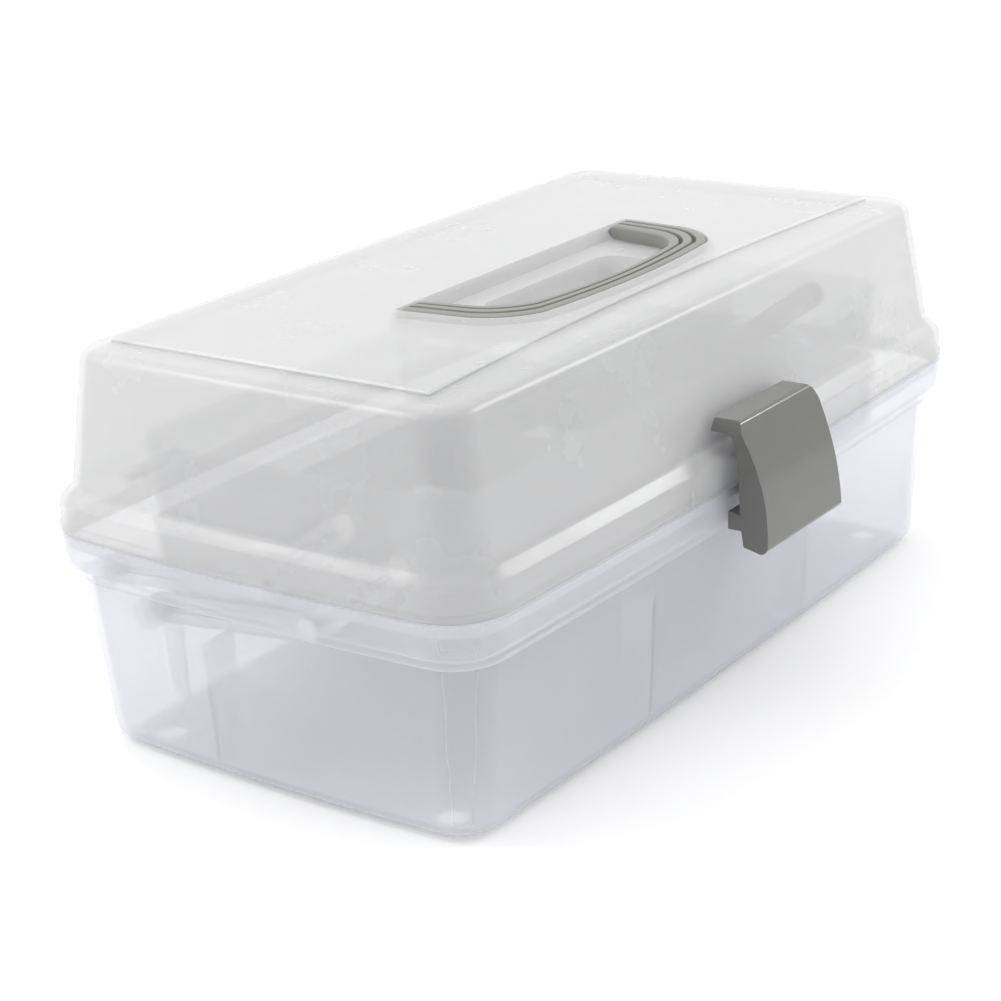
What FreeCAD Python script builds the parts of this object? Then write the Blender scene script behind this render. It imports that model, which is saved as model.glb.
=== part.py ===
"""Clear plastic art supply box: a deep bin, a hinged lid with a folding handle and a snap latch,
and two trays on parallel arms that rise and step back as the lid opens.

Millimetres, +Z up, X along the length, the latch on the -Y side. The frame's origin is under the
middle of the whole object's box, on the surface it stands on.
"""
import FreeCAD, Part
import math
import os
from FreeCAD import Placement, Rotation, Vector

doc = FreeCAD.newDocument("art_supply_box")
sheet = doc.addObject("Spreadsheet::Sheet", "Sizes")

SIZES = [
    # alias, value, what it measures
    ("wall", 2.0, "wall thickness of the bin and the lid"),
    ("bow", 2.0, "how far the middle of each side stands out from its ends"),
    ("centre_shift", 4.4, "moves everything so that the whole box is centred front to back"),
    # bin
    ("foot_height", 1.2, "height of the four moulded feet"),
    ("foot_radius", 5.0, "radius of a foot"),
    ("foot_across", 137.0, "feet from the middle, along the length"),
    ("foot_along", 60.0, "feet from the middle, front to back"),
    ("bin_low_reach", 151.5, "half length of the bin's wall at the floor"),
    ("bin_low_depth", 79.1, "half depth of the bin's wall at the floor"),
    ("bin_high_reach", 154.1, "half length of the bin's wall under its band"),
    ("bin_high_depth", 83.6, "half depth of the bin's wall under its band"),
    ("bin_corner", 15.0, "corner radius of the bin"),
    ("bin_round", 5.0, "rounding between the bin's floor and its walls"),
    ("band_low", 60.6, "where the bin's band starts"),
    ("band_high", 77.2, "top edge of the bin"),
    ("band_grow", 6.4, "how far the band stands out from the wall"),
    ("rib_height", 47.5, "height of the inner ribs above the table"),
    ("rib_thick", 2.0, "thickness of an inner rib"),
    ("rib_deep", 14.0, "how far an inner rib reaches into the bin"),
    ("front_rib_across", 52.0, "front ribs from the middle"),
    ("back_rib_across", 118.0, "back ribs from the middle"),
    ("side_rib_along", 24.0, "side ribs behind the middle"),
    # lid
    ("lid_low", 77.7, "bottom edge of the lid's skirt"),
    ("skirt_high", 86.6, "top of the upright part of the skirt"),
    ("shoulder", 92.1, "where the lid's wall starts above its shoulder"),
    ("lid_high", 137.8, "flat rim of the lid's top"),
    ("lid_low_reach", 154.9, "half length of the lid's wall at the shoulder"),
    ("lid_low_depth", 84.6, "half depth of the lid's wall at the shoulder"),
    ("lid_low_corner", 17.0, "corner radius at the shoulder"),
    ("lid_high_reach", 149.1, "half length of the lid's top"),
    ("lid_high_depth", 78.1, "half depth of the lid's top"),
    ("lid_high_corner", 14.0, "corner radius of the lid's top"),
    ("lid_round", 4.5, "rounding of the lid's top edge"),
    ("skirt_grow", 5.2, "how far the skirt stands out from the wall"),
    ("lip_deep", 5.5, "how far the lid's inner lip reaches into the bin"),
    ("lip_gap", 0.7, "play between the lip and the bin's band"),
    ("panel_rise", 1.5, "height of the raised panel on the lid"),
    ("panel_reach", 136.0, "half length of the raised panel"),
    ("panel_front", 61.5, "raised panel's front corners from the middle"),
    ("panel_back", 68.5, "raised panel's back edge from the middle"),
    ("panel_bow", 6.3, "how far the panel's front edge bows in between its corners"),
    ("panel_chamfer", 0.7, "chamfer round the raised panel"),
    # hinges
    ("hinge_across", 95.0, "each hinge from the middle"),
    ("hinge_back", 97.3, "hinge axis behind the middle"),
    ("hinge_high", 77.4, "height of the hinge axis"),
    ("knuckle_radius", 3.6, "outer radius of a hinge knuckle"),
    ("lid_knuckle", 12.0, "width of the lid's knuckle"),
    ("bin_knuckle", 8.0, "width of each of the bin's two knuckles"),
    ("knuckle_gap", 0.4, "side play between knuckles"),
    ("hinge_pin_radius", 1.5, "radius of a hinge pin"),
    ("hinge_pin_length", 28.8, "length of a hinge pin"),
    ("running_gap", 0.06, "radial play of every turning fit"),
    # handle
    ("handle_thick", 5.5, "thickness of the handle"),
    ("handle_low", 134.3, "underside of the folded handle"),
    ("handle_axis_along", 1.0, "handle's pivot behind the middle"),
    ("handle_stub_radius", 1.5, "radius of the handle's two pivot stubs"),
    ("handle_stub_length", 2.6, "length of a pivot stub"),
    ("handle_groove", 1.5, "depth of the two grooves along the handle"),
    ("recess_gap", 0.8, "play around the folded handle"),
    ("recess_floor", 133.7, "floor of the handle's recess"),
    ("well_reach", 40.0, "half length of the finger well"),
    ("well_front", 34.0, "finger well's front edge from the middle"),
    ("well_back", 6.0, "finger well's back edge from the middle"),
    ("well_floor", 126.0, "floor of the finger well"),
    # latch
    ("latch_axis_front", 93.5, "latch pivot in front of the middle"),
    ("latch_axis_high", 96.5, "height of the latch pivot"),
    ("latch_pin_radius", 1.5, "radius of the latch pin"),
    ("latch_hub_radius", 3.2, "radius of the latch's hub"),
    ("latch_hub_width", 16.6, "width of the latch's hub"),
    ("latch_ear_inner", 8.6, "inner face of each of the lid's latch ears"),
    ("latch_ear_thick", 3.0, "thickness of a latch ear"),
    ("latch_low_width", 51.6, "width of the latch at its lower edge"),
    ("latch_waist_width", 49.0, "width of the latch half way down"),
    ("latch_high_width", 50.2, "width of the latch under its rounded top corners"),
    ("latch_crown_width", 44.6, "width of the latch's top edge between its rounded corners"),
    ("latch_rise", 5.5, "height of the latch's top edge above its pivot"),
    ("latch_wall", 2.0, "wall thickness of the latch"),
    # trays and arms
    ("tray_wall", 1.6, "wall thickness of a tray"),
    ("tray_reach", 139.0, "half length of a tray at its rim"),
    ("tray_front", 70.0, "tray's front wall from the middle"),
    ("tray_back", 64.0, "tray's back wall from the middle"),
    ("tray_height", 28.4, "height of a tray"),
    ("tray_draft", 2.0, "how much narrower a tray is at its floor, each side"),
    ("tray_corner", 14.0, "corner radius of a tray at its rim"),
    ("lower_tray_low", 49.0, "underside of the lower tray"),
    ("upper_tray_low", 78.0, "underside of the upper tray"),
    ("arm_inner", 143.0, "inner face of each arm from the middle"),
    ("arm_thick", 2.5, "thickness of an arm"),
    ("arm_half_width", 5.0, "half width of an arm"),
    ("rivet_radius", 2.0, "radius of a rivet's shank"),
    ("rivet_head_radius", 3.8, "radius of a rivet's head"),
    ("rivet_head", 1.2, "thickness of a rivet's head"),
    ("rivet_bore", 5.0, "how deep the bin's rivet holes go past the arms"),
    ("boss_radius", 5.4, "radius of a rivet boss"),
    ("arm_gap", 0.2, "side play between an arm and its bosses"),
    # pivots of the front arm, and the step from it to the rear arm
    ("bin_pivot_along", 50.0, "front arm's pivot on the bin, behind the middle"),
    ("bin_pivot_high", 52.0, "height of that pivot"),
    ("lower_pivot_along", -15.0, "front arm's pivot on the lower tray"),
    ("lower_pivot_high", 58.0, "height of that pivot"),
    ("upper_pivot_along", -54.0, "front arm's pivot on the upper tray"),
    ("upper_pivot_high", 86.0, "height of that pivot"),
    ("arm_step_along", 20.0, "rear arm behind the front arm"),
    ("arm_step_high", 10.0, "rear arm above the front arm"),
]
for row, (alias, value, meaning) in enumerate(SIZES, start=1):
    sheet.set(f"A{row}", alias)
    sheet.set(f"B{row}", str(value))
    sheet.set(f"C{row}", meaning)
    sheet.setAlias(f"B{row}", alias)
doc.recompute()

SIDES = (("left", -1), ("right", 1))
CUT_MARGIN = 1.0  # how far a cutting solid runs past the face it cuts


def size(alias):
    """The value of one named cell."""
    return float(sheet.get(alias))


SHIFT = Vector(0, size("centre_shift"), 0)
NODES = []


def keep(item, label):
    """Names a finished sub-part and adds it to what is written."""
    item.Label = label
    NODES.append(item)
    return item


def moulding(label, shape):
    """A moulded sub-part whose lofted walls are worked out in code."""
    item = doc.addObject("Part::Feature", label)
    item.Shape = shape
    item.Placement = Placement(SHIFT, Rotation())
    return keep(item, label)


def lerp(low, high, share):
    return low + (high - low) * share


def box(low, high):
    """A box between two corners."""
    low, high = Vector(*low), Vector(*high)
    span = high - low
    return Part.makeBox(span.x, span.y, span.z, low)


def rod_x(radius, start, end, along, high):
    """A round bar lying along X."""
    return Part.makeCylinder(radius, end - start, Vector(start, along, high), Vector(1, 0, 0))


def outline(reach, depth, corner, bow, height):
    """A rounded rectangle whose sides are shallow arcs, at one height."""
    across, along = reach - corner, depth - corner
    diagonal = corner * math.sqrt(0.5)

    def arc(start, middle, end):
        return Part.Arc(*(Vector(x, y, height) for x, y in (start, middle, end))).toShape()

    edges = [
        arc((-across, -depth), (0, -depth - bow), (across, -depth)),
        arc((across, -depth), (across + diagonal, -along - diagonal), (reach, -along)),
        arc((reach, -along), (reach + bow, 0), (reach, along)),
        arc((reach, along), (across + diagonal, along + diagonal), (across, depth)),
        arc((across, depth), (0, depth + bow), (-across, depth)),
        arc((-across, depth), (-across - diagonal, along + diagonal), (-reach, along)),
        arc((-reach, along), (-reach - bow, 0), (-reach, -along)),
        arc((-reach, -along), (-across - diagonal, -along - diagonal), (-across, -depth)),
    ]
    return Part.Wire(edges)


def loft(sections):
    """A solid through (height, reach, depth, corner, bow) sections."""
    wires = [outline(reach, depth, corner, bow, height)
             for height, reach, depth, corner, bow in sections]
    return Part.makeLoft(wires, True, True)


def quarter(steps=4):
    """Sine and cosine pairs round a quarter circle, from 0 to 90 degrees."""
    return [(math.sin(math.pi / 2 * i / steps), math.cos(math.pi / 2 * i / steps))
            for i in range(steps + 1)]


# ---------------------------------------------------------------- bin

def bin_section(height, grow=0.0):
    """The bin's wall at a height, stood out by grow."""
    share = height / size("band_low")
    reach = lerp(size("bin_low_reach"), size("bin_high_reach"), share)
    depth = lerp(size("bin_low_depth"), size("bin_high_depth"), share)
    return (height, reach + grow, depth + grow, size("bin_corner") + grow, size("bow"))


def bin_loft(floor, inset, top):
    """The bin's outside (inset 0) or its cavity (inset one wall), with a rounded floor edge and a
    band that swells out of the wall in a quarter round."""
    edge = size("bin_round") - inset
    sections = [bin_section(floor + edge * (1 - cosine), -inset - edge * (1 - sine))
                for sine, cosine in quarter()]
    swell = size("band_grow")
    low = size("band_low") + inset * 0.8
    sections += [bin_section(low + swell * (1 - cosine), swell * sine - inset)
                 for sine, cosine in quarter()]
    sections.append(bin_section(top, swell - inset))
    return loft(sections)


def bin_ribs():
    """Upright ribs on the inside of the walls, under the lower tray."""
    thick, deep, top = size("rib_thick"), size("rib_deep"), size("rib_height")
    low = size("foot_height")
    front, side = size("bin_high_depth"), size("bin_high_reach")
    ribs = []
    for _, sign in SIDES:
        x = sign * size("front_rib_across")
        ribs.append(box((x - thick / 2, -front - size("bow"), low), (x + thick / 2, deep - front, top)))
        x = sign * size("back_rib_across")
        ribs.append(box((x - thick / 2, front - deep, low), (x + thick / 2, front + size("bow"), top)))
        y = size("side_rib_along")
        start, end = sorted((sign * (side - deep), sign * (side + size("bow"))))
        ribs.append(box((start, y - thick / 2, low), (end, y + thick / 2, top)))
    return ribs


def rear_arm_step():
    return Vector(0, size("arm_step_along"), size("arm_step_high"))


def pivot(name):
    """The front arm's pivot on the bin, the lower tray or the upper tray."""
    return Vector(0, size(f"{name}_pivot_along"), size(f"{name}_pivot_high"))


def pivot_pair(name):
    return (pivot(name), pivot(name) + rear_arm_step())


def bin_bosses():
    """Bosses on the end walls that carry the arms' lower rivets."""
    start = size("arm_inner") + size("arm_thick") + size("arm_gap")
    end = size("bin_high_reach") + size("bow") / 2
    return [rod_x(size("boss_radius"), *sorted((sign * start, sign * end)), centre.y, centre.z)
            for _, sign in SIDES for centre in pivot_pair("bin")]


def rivet_holes(name, from_x, to_x):
    """Holes for both rivets of both sides, between two distances from the middle."""
    return [rod_x(size("rivet_radius"), *sorted((sign * from_x, sign * to_x)), centre.y, centre.z)
            for _, sign in SIDES for centre in pivot_pair(name)]


def hinge_rods(radius, half_spans):
    """Round bars on the hinge axis, each between two distances from a hinge's middle."""
    return [rod_x(radius, sign * size("hinge_across") + start, sign * size("hinge_across") + end,
                  size("hinge_back"), size("hinge_high"))
            for _, sign in SIDES for start, end in half_spans]


def base_bin():
    floor, wall, top = size("foot_height"), size("wall"), size("band_high")
    outside = bin_loft(floor, 0.0, top)
    cavity = bin_loft(floor + wall, wall, top + CUT_MARGIN)
    inner = Part.makeCompound(bin_ribs() + bin_bosses())
    body = outside.cut(cavity).fuse([piece for piece in outside.common(inner).Solids])
    feet = [Part.makeCylinder(size("foot_radius"), floor + wall / 2,
                              Vector(sx * size("foot_across"), sy * size("foot_along"), 0))
            for sx in (-1, 1) for sy in (-1, 1)]
    gap, half = size("knuckle_gap"), size("lid_knuckle") / 2
    near, far = half + gap, half + gap + size("bin_knuckle")
    spans = [(-far, -near), (near, far)]
    knuckles = hinge_rods(size("knuckle_radius"), spans)
    webs = [box((sign * size("hinge_across") + start, size("bin_high_depth") + size("band_grow") + 0.6,
                 size("hinge_high") - size("knuckle_radius")),
                (sign * size("hinge_across") + end, size("hinge_back"), top))
            for _, sign in SIDES for start, end in spans]
    body = body.fuse(feet + knuckles + webs)
    half_pin = size("hinge_pin_length") / 2
    holes = hinge_rods(size("hinge_pin_radius"), [(-half_pin, half_pin)])
    rivet_end = size("arm_inner") + size("arm_thick") + size("arm_gap") + size("rivet_bore")
    return body.cut(holes + rivet_holes("bin", size("arm_inner"), rivet_end)).removeSplitter()


# ---------------------------------------------------------------- handle outline

def handle_rail(share):
    """One line along the handle, from its outer edge (0) to its inner edge (1), right to left:
    leg end, start of the corner, corner, start of the bar, middle of the bar, then mirrored."""
    outer = [(68.5, 1.0), (66.5, -22.0), (61.5, -33.5), (51.0, -41.8), (0.0, -45.6)]
    inner = [(57.0, 1.0), (54.5, -15.0), (50.0, -25.5), (40.0, -32.6), (0.0, -36.6)]
    right = [Vector(lerp(a[0], b[0], share), lerp(a[1], b[1], share), 0)
             for a, b in zip(outer, inner)]
    left = [Vector(-point.x, point.y, 0) for point in reversed(right[:-1])]
    return right + left


def rail_curves(points, backwards=False):
    """The two legs, two corner arcs and the bar's long arc along one rail."""
    if backwards:
        points = points[::-1]
    return [
        Part.LineSegment(points[0], points[1]),
        Part.Arc(points[1], points[2], points[3]),
        Part.Arc(points[3], points[4], points[5]),
        Part.Arc(points[5], points[6], points[7]),
        Part.LineSegment(points[7], points[8]),
    ]


def band_curves(outer_share, inner_share):
    """A closed band between two rails of the handle."""
    outer, inner = handle_rail(outer_share), handle_rail(inner_share)
    return (rail_curves(outer) + [Part.LineSegment(outer[-1], inner[-1])]
            + rail_curves(inner, backwards=True) + [Part.LineSegment(inner[0], outer[0])])


# ---------------------------------------------------------------- lid

def lid_section(share, height, grow=0.0):
    """The lid's wall between its shoulder (0) and its top (1), stood out by grow."""
    corner = lerp(size("lid_low_corner"), size("lid_high_corner"), share)
    return (height,
            lerp(size("lid_low_reach"), size("lid_high_reach"), share) + grow,
            lerp(size("lid_low_depth"), size("lid_high_depth"), share) + grow,
            max(corner + grow, 2.0),
            lerp(size("bow"), 0.4, share))


def lid_loft(inset, bottom):
    """The lid's outside (inset 0) or its cavity (inset one wall)."""
    swell, edge = size("skirt_grow"), size("lid_round") - inset * 0.8
    shoulder, skirt = size("shoulder") - inset / 2, size("skirt_high") - inset / 2
    sections = [
        lid_section(0, bottom, swell - inset),
        lid_section(0, skirt, swell - inset),
        lid_section(0, skirt + 1.2, swell * 0.9 - inset),
        lid_section(0, lerp(skirt, shoulder, 0.75), swell * 0.28 - inset),
        lid_section(0, shoulder + 0.6, -inset),
    ]
    top = size("lid_high") - inset
    for sine, cosine in quarter():
        height = top - edge * (1 - sine)
        share = (height - shoulder) / (size("lid_high") - size("shoulder"))
        sections.append(lid_section(min(share, 1.0), height, -inset - edge * (1 - cosine)))
    return loft(sections)


def panel_block(inset, low, high):
    """The raised panel's block between two heights: straight ends and back, bowed in front."""
    reach = size("panel_reach") - inset
    front, back = inset - size("panel_front"), size("panel_back") - inset
    left, right = Vector(-reach, front, low), Vector(reach, front, low)
    bow = Part.Arc(left, Vector(0, front + size("panel_bow"), low), right)
    sides = [Part.LineSegment(right, Vector(reach, back, low)),
             Part.LineSegment(Vector(reach, back, low), Vector(-reach, back, low)),
             Part.LineSegment(Vector(-reach, back, low), left)]
    face = Part.Face(Part.Wire([curve.toShape() for curve in [bow] + sides]))
    return face.extrude(Vector(0, 0, high - low))


def handle_recess(grow, floor, top):
    """The folded handle's outline, closed across its legs and grown, between two heights."""
    rail = handle_rail(0.0)
    back = size("handle_axis_along") + size("handle_thick") / 2
    ends = [Vector(rail[-1].x, back, 0), Vector(rail[0].x, back, 0)]
    closing = [Part.LineSegment(rail[-1], ends[0]), Part.LineSegment(ends[0], ends[1]),
               Part.LineSegment(ends[1], rail[0])]
    face = Part.Face(Part.Wire([curve.toShape() for curve in rail_curves(rail) + closing]))
    grown = face.makeOffset2D(grow)
    grown.translate(Vector(0, 0, floor))
    return grown.extrude(Vector(0, 0, top - floor))


def finger_well(grow, floor, top):
    """The deeper well behind the handle's bar, with drafted walls."""
    middle = -(size("well_front") + size("well_back")) / 2
    reach = size("well_reach") + grow
    depth = (size("well_front") - size("well_back")) / 2 + grow
    draft = 3.0
    low = outline(reach - draft, depth - draft, 6.0 + grow, 0.01, floor)
    high = outline(reach, depth, 8.0 + grow, 0.01, top)
    well = Part.makeLoft([low, high], True, True)
    well.translate(Vector(0, middle, 0))
    return well


def latch_ears():
    """Two ears on the lid's shoulder that carry the latch pin."""
    along, high = -size("latch_axis_front"), size("latch_axis_high")
    radius = size("latch_hub_radius") - 0.2
    skirt = -size("lid_low_depth") - size("skirt_grow") - size("bow")
    skirt_inner, root = skirt + size("wall") * 0.7, size("skirt_high") - 2.0
    points = [Vector(0, along - radius, high), Vector(0, skirt - 0.1, root), Vector(0, skirt_inner, root),
              Vector(0, skirt_inner, root + 3.2), Vector(0, along + radius, high)]
    face = Part.Face(Part.makePolygon(points + [points[0]]))
    plate = face.extrude(Vector(size("latch_ear_thick"), 0, 0))
    ear = plate.fuse(rod_x(radius, 0, size("latch_ear_thick"), along, high))
    starts = (size("latch_ear_inner"), -size("latch_ear_inner") - size("latch_ear_thick"))
    return [ear.translated(Vector(start, 0, 0)) for start in starts]


def lid():
    wall = size("wall")
    bottom, panel_top = size("lid_low"), size("lid_high") + size("panel_rise")
    outside = lid_loft(0.0, bottom)
    cavity = lid_loft(wall, bottom - CUT_MARGIN)
    shell = outside.cut(cavity)
    # inner lip that drops inside the bin's band
    gap, swell = size("lip_gap"), size("band_grow")
    lip_low = bottom - size("lip_deep")
    grow = swell - wall - gap
    lip_top = bottom + wall
    lip = loft([bin_section(lip_low, grow), bin_section(lip_top, grow)])
    lip = lip.cut(loft([bin_section(lip_low - CUT_MARGIN, grow - wall * 0.8),
                        bin_section(lip_top + CUT_MARGIN, grow - wall * 0.8)]))
    ledge = loft([bin_section(bottom, swell - wall), bin_section(lip_top, swell - wall)])
    ledge = ledge.cut(loft([bin_section(bottom - CUT_MARGIN, grow - wall * 0.8),
                            bin_section(lip_top + CUT_MARGIN, grow - wall * 0.8)]))
    # raised panel, hollow underneath
    panel_low = size("lid_high") - wall
    panel = panel_block(0.0, panel_low, panel_top)
    panel = panel.makeChamfer(size("panel_chamfer"), [edge for edge in panel.Edges
                                                      if edge.BoundBox.ZMin > panel_top - 0.01])
    hollow = panel_block(wall, panel_low - CUT_MARGIN, panel_top - wall)
    solid = shell.fuse([lip, ledge, panel]).cut(hollow)
    # recess for the folded handle and the finger well, each with its own floor and walls
    pan = handle_recess(size("recess_gap") + wall, size("recess_floor") - wall, panel_top)
    pan = pan.fuse(finger_well(wall, size("well_floor") - wall, size("recess_floor")))
    hole = handle_recess(size("recess_gap"), size("recess_floor"), panel_top + CUT_MARGIN)
    hole = hole.fuse(finger_well(0.0, size("well_floor"), size("recess_floor") + CUT_MARGIN / 2))
    solid = solid.fuse(pan).cut(hole)
    handle_axis = size("handle_low") + size("handle_thick") / 2
    stub_end = handle_rail(0)[0].x + size("handle_stub_length") + size("running_gap")
    stubs = rod_x(size("handle_stub_radius") + size("running_gap"), -stub_end, stub_end,
                  size("handle_axis_along"), handle_axis)
    # hinge knuckles with their webs, and the latch ears
    half = size("lid_knuckle") / 2
    knuckles = hinge_rods(size("knuckle_radius"), [(-half, half)])
    webs = [box((sign * size("hinge_across") - half,
                 size("lid_low_depth") + size("skirt_grow"), bottom + 0.1),
                (sign * size("hinge_across") + half, size("hinge_back"),
                 size("hinge_high") + size("knuckle_radius")))
            for _, sign in SIDES]
    solid = solid.fuse(knuckles + webs + latch_ears())
    bores = hinge_rods(size("hinge_pin_radius") + size("running_gap"), [(-half - 1, half + 1)])
    pin = rod_x(size("latch_pin_radius"), -size("latch_ear_inner") - size("latch_ear_thick"),
                size("latch_ear_inner") + size("latch_ear_thick"),
                -size("latch_axis_front"), size("latch_axis_high"))
    return solid.cut(bores + [stubs, pin]).removeSplitter()


# ---------------------------------------------------------------- trays

def tray(low, pivot_name, lengthways, crossways):
    """An open tray with rounded corners, fixed partitions, a rolled rim and rivet bosses.
    lengthways lists (start, end) shares of the length for the middle partition; crossways lists
    (x, front share, back share) for the partitions across."""
    wall, draft, high = size("tray_wall"), size("tray_draft"), low + size("tray_height")
    reach = size("tray_reach")
    depth = (size("tray_front") + size("tray_back")) / 2
    middle = (size("tray_back") - size("tray_front")) / 2
    corner, bow, edge = size("tray_corner"), 0.3, 2.5

    def walls(inset, floor, top):
        sections = [(floor + edge * (1 - cosine), reach - draft - inset - edge * (1 - sine),
                     depth - draft - inset - edge * (1 - sine), corner - draft - inset, bow)
                    for sine, cosine in quarter(3)]
        return sections + [(top, reach - inset, depth - inset, corner - inset, bow)]

    outside = loft(walls(0.0, low, high))
    cavity = loft(walls(wall, low + wall, high + 0.02))
    partitions = []
    part_top = high - 3.0
    for start, end in lengthways:
        partitions.append(box((start * reach, -wall / 2, low), (end * reach, wall / 2, part_top)))
    for x, front, back in crossways:
        partitions.append(box((x - wall / 2, front * depth, low), (x + wall / 2, back * depth, part_top)))
    inner = outside.common(Part.makeCompound(partitions))
    body = outside.cut(cavity).fuse(inner.Solids)
    body.translate(Vector(0, middle, 0))
    start, end = reach - draft, size("arm_inner") - size("arm_gap")
    bosses = [rod_x(size("boss_radius"), *sorted((sign * start, sign * end)), centre.y, centre.z)
              for _, sign in SIDES for centre in pivot_pair(pivot_name)]
    holes = rivet_holes(pivot_name, reach + 0.6, end + CUT_MARGIN)
    return body.fuse(bosses).cut(holes).removeSplitter()


# ---------------------------------------------------------------- sketched parts

def origin_plane(body, role):
    return next(item for item in body.Origin.OriginFeatures if item.Role == role)


def sketch_on(body, role, name, curves):
    """A sketch on one of the body's own origin planes."""
    sketch = body.newObject("Sketcher::SketchObject", name)
    sketch.AttachmentSupport = (origin_plane(body, role), [""])
    sketch.MapMode = "FlatFace"
    for curve in curves:
        sketch.addGeometry(curve, False)
    return sketch


def pad(body, sketch, name, length, symmetric=False):
    feature = body.newObject("PartDesign::Pad", name)
    feature.Profile = sketch
    feature.setExpression("Length", length)
    feature.Midplane = symmetric
    sketch.Visibility = False
    return feature


def pocket(body, sketch, name, length, symmetric=False, reverse=False):
    """Cuts the sketch out of the body, and checks that something was cut."""
    doc.recompute()
    before = body.Shape.Volume
    feature = body.newObject("PartDesign::Pocket", name)
    feature.Profile = sketch
    feature.setExpression("Length", length)
    feature.Midplane = symmetric
    feature.Reversed = reverse
    doc.recompute()
    if not feature.Shape.Volume < before - 1.0:
        raise RuntimeError(f"{name} cuts nothing")
    return feature


def loop(points):
    """Straight lines round a closed run of points."""
    return [Part.LineSegment(start, end) for start, end in zip(points, points[1:] + points[:1])]


def offset_point(before, corner, after, distance):
    """Where the lines before-corner and corner-after meet once both are moved sideways."""
    first = (corner - before).normalize()
    second = (after - corner).normalize()
    left_first = Vector(-first.y, first.x, 0)
    bisector = (left_first + Vector(-second.y, second.x, 0)).normalize()
    return corner + bisector * (distance / bisector.dot(left_first))


def arm(label, sign, step):
    """A flat bent arm with rounded ends and three rivet holes, drawn in the YZ plane."""
    centres = [Vector(point.y, point.z, 0) for point in
               (pivot("bin") + step, pivot("lower") + step, pivot("upper") + step)]
    half = size("arm_half_width")
    start, bend, end = centres
    heading_in, heading_out = (bend - start).normalize(), (end - bend).normalize()
    left_in, left_out = Vector(-heading_in.y, heading_in.x, 0), Vector(-heading_out.y, heading_out.x, 0)
    left_bend = offset_point(start, bend, end, half)
    right_bend = offset_point(start, bend, end, -half)
    curves = [
        Part.LineSegment(start + left_in * half, left_bend),
        Part.LineSegment(left_bend, end + left_out * half),
        Part.Arc(end + left_out * half, end + heading_out * half, end - left_out * half),
        Part.LineSegment(end - left_out * half, right_bend),
        Part.LineSegment(right_bend, start - left_in * half),
        Part.Arc(start - left_in * half, start - heading_in * half, start + left_in * half),
    ]
    hole = size("rivet_radius") + size("running_gap")
    curves += [Part.Circle(centre, Vector(0, 0, 1), hole) for centre in centres]
    body = doc.addObject("PartDesign::Body", label)
    sketch = sketch_on(body, "YZ_Plane", f"{label}_outline", curves)
    pad(body, sketch, f"{label}_plate", "Sizes.arm_thick")
    inner = size("arm_inner")
    start_x = inner if sign > 0 else -inner - size("arm_thick")
    body.Placement = Placement(Vector(start_x, 0, 0) + SHIFT, Rotation())
    return keep(body, label)


def cylinder_x(name, start, along, high, radius, length):
    """A Part cylinder along X whose radius and length are bound to the sheet."""
    item = doc.addObject("Part::Cylinder", name)
    item.setExpression("Radius", radius)
    item.setExpression("Height", length)
    item.Placement = Placement(Vector(start, along, high) + SHIFT, Rotation(Vector(0, 1, 0), 90))
    return item


def rivets(label, sign, name):
    """Two rivets on one side. On the bin the heads face the trays, on a tray they face out."""
    inner, outer = size("arm_inner"), size("arm_inner") + size("arm_thick")
    shank, head, play = "Sizes.arm_thick + 2 * Sizes.arm_gap + 3", "Sizes.rivet_head", size("arm_gap")
    length = size("arm_thick") + 2 * play + 3
    group = []
    for place, centre in zip(("front", "rear"), pivot_pair(name)):
        if name == "bin":
            near, head_near = inner - play, inner - play - size("rivet_head")
        else:
            near, head_near = outer + play - length, outer + play
        start = near if sign > 0 else -near - length
        head_start = head_near if sign > 0 else -head_near - size("rivet_head")
        pieces = [
            cylinder_x(f"{label}_{place}_shank", start, centre.y, centre.z, "Sizes.rivet_radius", shank),
            cylinder_x(f"{label}_{place}_head", head_start, centre.y, centre.z,
                       "Sizes.rivet_head_radius", head),
        ]
        fused = doc.addObject("Part::MultiFuse", f"{label}_{place}")
        fused.Shapes = pieces
        group.append(fused)
    compound = doc.addObject("Part::Compound", label)
    compound.Links = group
    return keep(compound, label)


def handle():
    """Flat bail with two grooves along it, a round knuckle at each leg's end, and pivot stubs."""
    body = doc.addObject("PartDesign::Body", "handle_bail")
    outline_sketch = sketch_on(body, "XY_Plane", "handle_outline", band_curves(0.0, 1.0))
    pad(body, outline_sketch, "handle_plate", "Sizes.handle_thick")
    # the grooves are sketched at their floor and cut upwards past the top
    plane_height = size("handle_thick") - size("handle_groove")
    for number, (start, end) in enumerate(((0.27, 0.36), (0.62, 0.71)), start=1):
        groove = sketch_on(body, "XY_Plane", f"handle_groove_{number}", band_curves(start, end))
        groove.AttachmentOffset = Placement(Vector(0, 0, plane_height), Rotation())
        pocket(body, groove, f"handle_groove_cut_{number}", "Sizes.handle_groove + 1", reverse=True)
    body.Placement = Placement(Vector(0, 0, size("handle_low")) + SHIFT, Rotation())
    along = size("handle_axis_along")
    high = size("handle_low") + size("handle_thick") / 2
    outer, inner = handle_rail(0.0)[0].x, handle_rail(1.0)[0].x
    pieces = [body]
    for side, sign in SIDES:
        knuckle = cylinder_x(f"handle_{side}_knuckle", inner if sign > 0 else -outer, along, high,
                             "Sizes.handle_thick / 2", "Sizes.handle_thick")
        knuckle.setExpression("Height", str(outer - inner))
        stub_start = outer if sign > 0 else -outer - size("handle_stub_length")
        stub = cylinder_x(f"handle_{side}_stub", stub_start, along, high,
                          "Sizes.handle_stub_radius", "Sizes.handle_stub_length")
        pieces += [knuckle, stub]
    fused = doc.addObject("Part::MultiFuse", "handle")
    fused.Shapes = pieces
    return keep(fused, "handle")


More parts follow.
